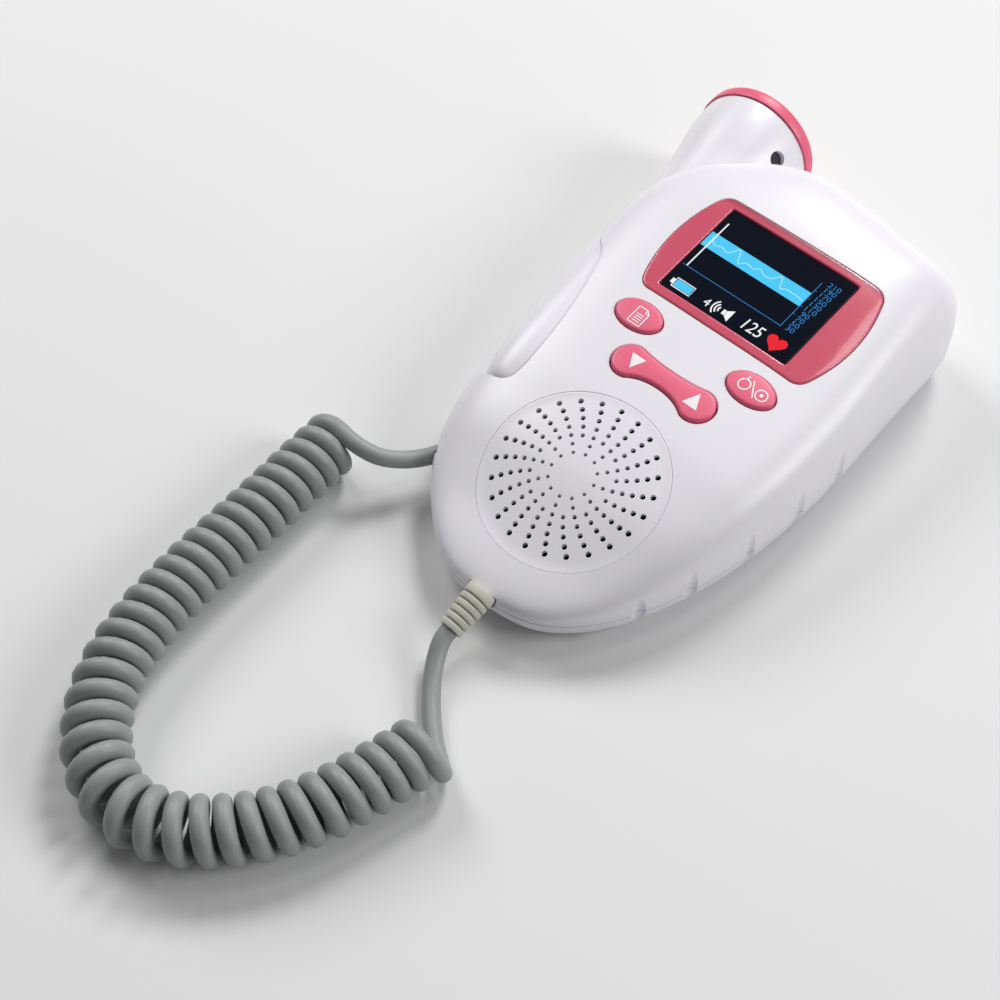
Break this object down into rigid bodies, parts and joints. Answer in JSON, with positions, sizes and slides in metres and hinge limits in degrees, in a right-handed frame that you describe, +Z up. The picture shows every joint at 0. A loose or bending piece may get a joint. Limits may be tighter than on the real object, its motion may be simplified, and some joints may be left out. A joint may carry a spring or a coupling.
{
  "type": "fetal doppler monitor",
  "caption": "Hand-held fetal doppler monitor with a tilted colour display, two oval keys, a volume rocker, a round speaker grille, a docked cylindrical probe and a curly cord.",
  "frame": {"origin": "on the flat underside of the main unit, on its centre line, 60 mm from its cord end", "axes": "+Y from the cord end to the display end, +X to the unit's right, +Z up"},
  "size_m": [0.1126, 0.2698, 0.0385],
  "materials": {
    "body_white": "satin",
    "bezel_pink": "gloss",
    "key_pink": "satin",
    "window_glass": "gloss",
    "cord_grey": "satin",
    "boot_beige": "matte",
    "black_plastic": "matte",
    "board_green": "satin",
    "steel": "brushed",
    "cone_paper": "matte",
    "ceramic": "satin",
    "cell_foil": "satin"
  },
  "bodies": {
    "unit": {"top_shell": "body_white", "bottom_shell": "body_white", "display_bezel": "bezel_pink", "display_window": "window_glass", "lcd_panel": "black_plastic", "speaker_grille": "body_white", "speaker_frame": "steel", "speaker_cone": "cone_paper", "speaker_magnet": "steel", "main_board": "board_green", "switch_left": "black_plastic", "switch_right": "black_plastic", "switch_minus": "black_plastic", "switch_plus": "black_plastic", "battery_cell_1": "cell_foil", "battery_cell_2": "cell_foil", "battery_contact_front": "steel", "battery_contact_back": "steel", "earphone_socket": "black_plastic", "screw_nose_right": "steel", "screw_nose_left": "steel", "screw_display_right": "steel", "screw_dock": "steel", "unit_boot": "boot_beige", "cord_unit_lead": "cord_grey", "cord_coil": "cord_grey", "cord_probe_lead": "cord_grey"},
    "left_key": {"left_button": "key_pink"},
    "right_key": {"right_button": "key_pink"},
    "rocker": {"volume_rocker": "key_pink"},
    "door": {"battery_door": "body_white"},
    "probe": {"probe_upper_shell": "body_white", "probe_lower_shell": "body_white", "probe_ring": "key_pink", "probe_face": "ceramic", "probe_crystal": "steel", "probe_backing": "black_plastic", "probe_board": "board_green", "probe_boot": "boot_beige"}
  },
  "joints": [
    {"name": "left_button_press", "type": "slide", "parent": "unit", "child": "left_key", "axis": [0, 0, -1], "range_m": [0, 0.0008], "stiffness_N_per_m": 400},
    {"name": "right_button_press", "type": "slide", "parent": "unit", "child": "right_key", "axis": [0, 0, -1], "range_m": [0, 0.0008], "stiffness_N_per_m": 400},
    {"name": "volume_rocker_tip", "type": "hinge", "parent": "unit", "child": "rocker", "pos_m": [0, 0.0086, 0.0285], "axis": [0, 1, 0], "range_deg": [-3.5, 3.5], "stiffness_Nm_per_rad": 0.1},
    {"name": "battery_door_slide", "type": "slide", "parent": "unit", "child": "door", "axis": [0, 1, 0], "range_m": [0, 0.07]},
    {"name": "probe_pull_out", "type": "slide", "parent": "unit", "child": "probe", "axis": [-0.0698, 0.9976, 0], "range_m": [0, 0.118]}
  ]
}
